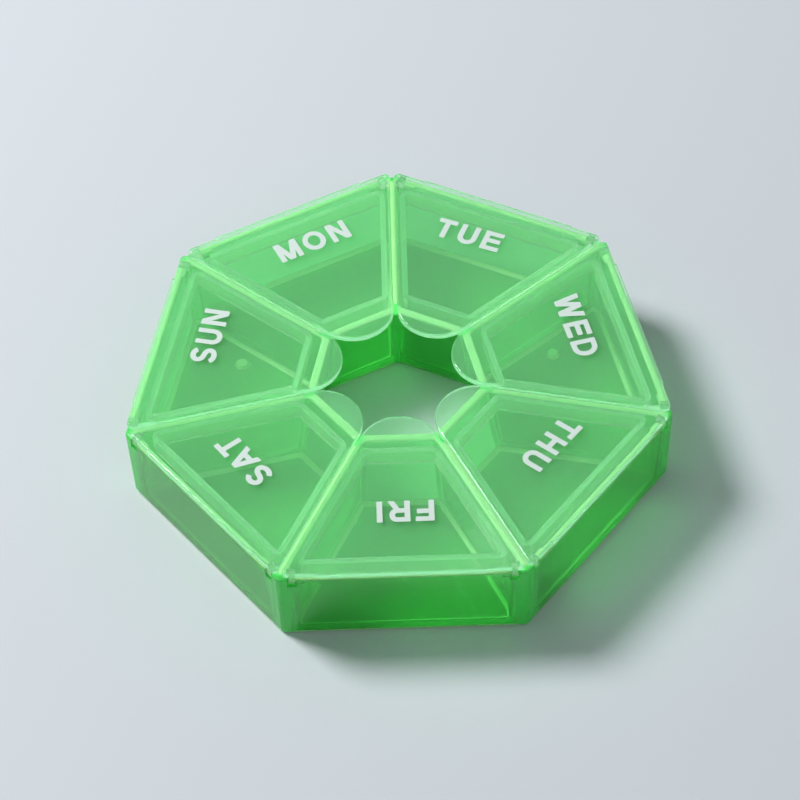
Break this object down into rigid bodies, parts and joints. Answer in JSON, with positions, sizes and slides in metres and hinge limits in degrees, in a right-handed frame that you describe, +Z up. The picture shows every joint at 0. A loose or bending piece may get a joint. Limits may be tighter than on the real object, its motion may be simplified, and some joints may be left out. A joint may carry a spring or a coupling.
{
  "type": "weekly pill box",
  "caption": "Heptagonal pill box: a translucent tray of wedge compartments round a central hole, each under its own hinged lid with a round finger tab.",
  "frame": {"origin": "middle of the closed box's bounding box, on its base", "axes": "+Z up; +Y to the corner between the Monday and Tuesday compartments, at the back; -Y to the Friday side, at the front; +X to the right"},
  "size_m": [0.095, 0.0928, 0.0172],
  "materials": {
    "tray_plastic": "translucent green polypropylene, satin gloss",
    "lid_plastic": "natural milky polypropylene, satin gloss"
  },
  "bodies": {
    "tray": {"tray": "tray_plastic"},
    "lid_tuesday": {"lid_tuesday": "lid_plastic"},
    "lid_wednesday": {"lid_wednesday": "lid_plastic"},
    "lid_thursday": {"lid_thursday": "lid_plastic"},
    "lid_friday": {"lid_friday": "lid_plastic"},
    "lid_saturday": {"lid_saturday": "lid_plastic"},
    "lid_sunday": {"lid_sunday": "lid_plastic"},
    "lid_monday": {"lid_monday": "lid_plastic"}
  },
  "joints": [
    {"name": "tuesday_hinge", "type": "hinge", "parent": "tray", "child": "lid_tuesday", "pos_m": [0.01868, 0.03652, 0.0148], "axis": [-0.901, 0.4339, 0], "range_deg": [0, 100]},
    {"name": "wednesday_hinge", "type": "hinge", "parent": "tray", "child": "lid_wednesday", "pos_m": [0.04197, 0.00731, 0.0148], "axis": [-0.2225, 0.9749, 0], "range_deg": [0, 100]},
    {"name": "thursday_hinge", "type": "hinge", "parent": "tray", "child": "lid_thursday", "pos_m": [0.03366, -0.02911, 0.0148], "axis": [0.6235, 0.7818, 0], "range_deg": [0, 100]},
    {"name": "friday_hinge", "type": "hinge", "parent": "tray", "child": "lid_friday", "pos_m": [0, -0.04531, 0.0148], "axis": [1, 0, 0], "range_deg": [0, 100]},
    {"name": "saturday_hinge", "type": "hinge", "parent": "tray", "child": "lid_saturday", "pos_m": [-0.03366, -0.02911, 0.0148], "axis": [0.6235, -0.7818, 0], "range_deg": [0, 100]},
    {"name": "sunday_hinge", "type": "hinge", "parent": "tray", "child": "lid_sunday", "pos_m": [-0.04197, 0.00731, 0.0148], "axis": [-0.2225, -0.9749, 0], "range_deg": [0, 100]},
    {"name": "monday_hinge", "type": "hinge", "parent": "tray", "child": "lid_monday", "pos_m": [-0.01868, 0.03652, 0.0148], "axis": [-0.901, -0.4339, 0], "range_deg": [0, 100]}
  ]
}
